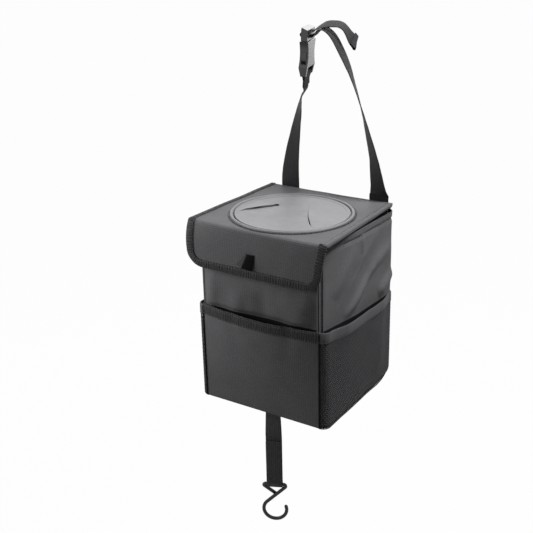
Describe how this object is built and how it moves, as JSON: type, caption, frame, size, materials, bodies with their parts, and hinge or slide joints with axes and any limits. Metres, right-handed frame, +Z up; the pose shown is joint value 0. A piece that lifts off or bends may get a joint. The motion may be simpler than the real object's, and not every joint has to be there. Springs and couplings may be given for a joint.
{
  "type": "car trash bin",
  "caption": "Hanging car trash bin in dark grey cloth with a slit rubber lid, front flap, pockets, buckled hanging straps and a wire hook on a strap below",
  "frame": {"origin": "the hang point, under the top of the buckled strap loop, in line with the outer face of the back and midway between the sides", "axes": "X across the bin to the right as seen from the front, Y from the front to the back, Z up"},
  "size_m": [0.186, 0.2, 0.5952],
  "materials": {
    "oxford_cloth": "woven polyester, matt",
    "binding_tape": "ribbed edge tape",
    "stiffener": "flat board",
    "liner_film": "coated film",
    "net": "knitted net",
    "touch_tape": "hook and loop tape",
    "webbing": "woven polypropylene",
    "rubber": "matt moulded sheet",
    "buckle_plastic": "satin moulding",
    "coated_wire": "black dipped wire"
  },
  "bodies": {
    "bin": {"front_panel": "oxford_cloth", "back_panel": "oxford_cloth", "left_panel": "oxford_cloth", "right_panel": "oxford_cloth", "bottom_panel": "oxford_cloth", "front_board": "stiffener", "back_board": "stiffener", "bottom_board": "stiffener", "liner": "liner_film", "front_pocket": "oxford_cloth", "front_pocket_binding": "binding_tape", "left_mesh_pocket": "net", "left_mesh_hem": "binding_tape", "right_mesh_pocket": "net", "right_mesh_hem": "binding_tape", "front_loop_tape": "touch_tape", "left_strap": "webbing", "right_strap_foot": "webbing", "buckle_socket": "buckle_plastic", "bottom_strap": "webbing"},
    "lid": {"lid_panel": "oxford_cloth", "lid_board": "stiffener", "lid_lining": "liner_film", "lid_binding": "binding_tape", "membrane": "rubber"},
    "flap": {"flap_panel": "oxford_cloth", "flap_binding": "binding_tape", "flap_hook_tape": "touch_tape", "pull_tab": "webbing"},
    "plug": {"buckle_plug": "buckle_plastic", "right_strap": "webbing"},
    "hook": {"s_hook": "coated_wire"}
  },
  "joints": [
    {"name": "lid_hinge", "type": "hinge", "parent": "bin", "child": "lid", "pos_m": [0, -0.0003, -0.1881], "axis": [-1, 0, 0], "range_deg": [0, 75]},
    {"name": "flap_hinge", "type": "hinge", "parent": "lid", "child": "flap", "pos_m": [0, -0.1668, -0.1889], "axis": [-1, 0, 0], "range_deg": [0, 90]},
    {"name": "buckle_slide", "type": "slide", "parent": "bin", "child": "plug", "axis": [0.0523, 0, 0.9986], "range_m": [0, 0.03], "deforming": ["buckle_plug"]},
    {"name": "hook_swing", "type": "hinge", "parent": "bin", "child": "hook", "pos_m": [0, -0.142, -0.5275], "axis": [0.9135, 0.4067, 0], "range_deg": [-90, 90]}
  ]
}
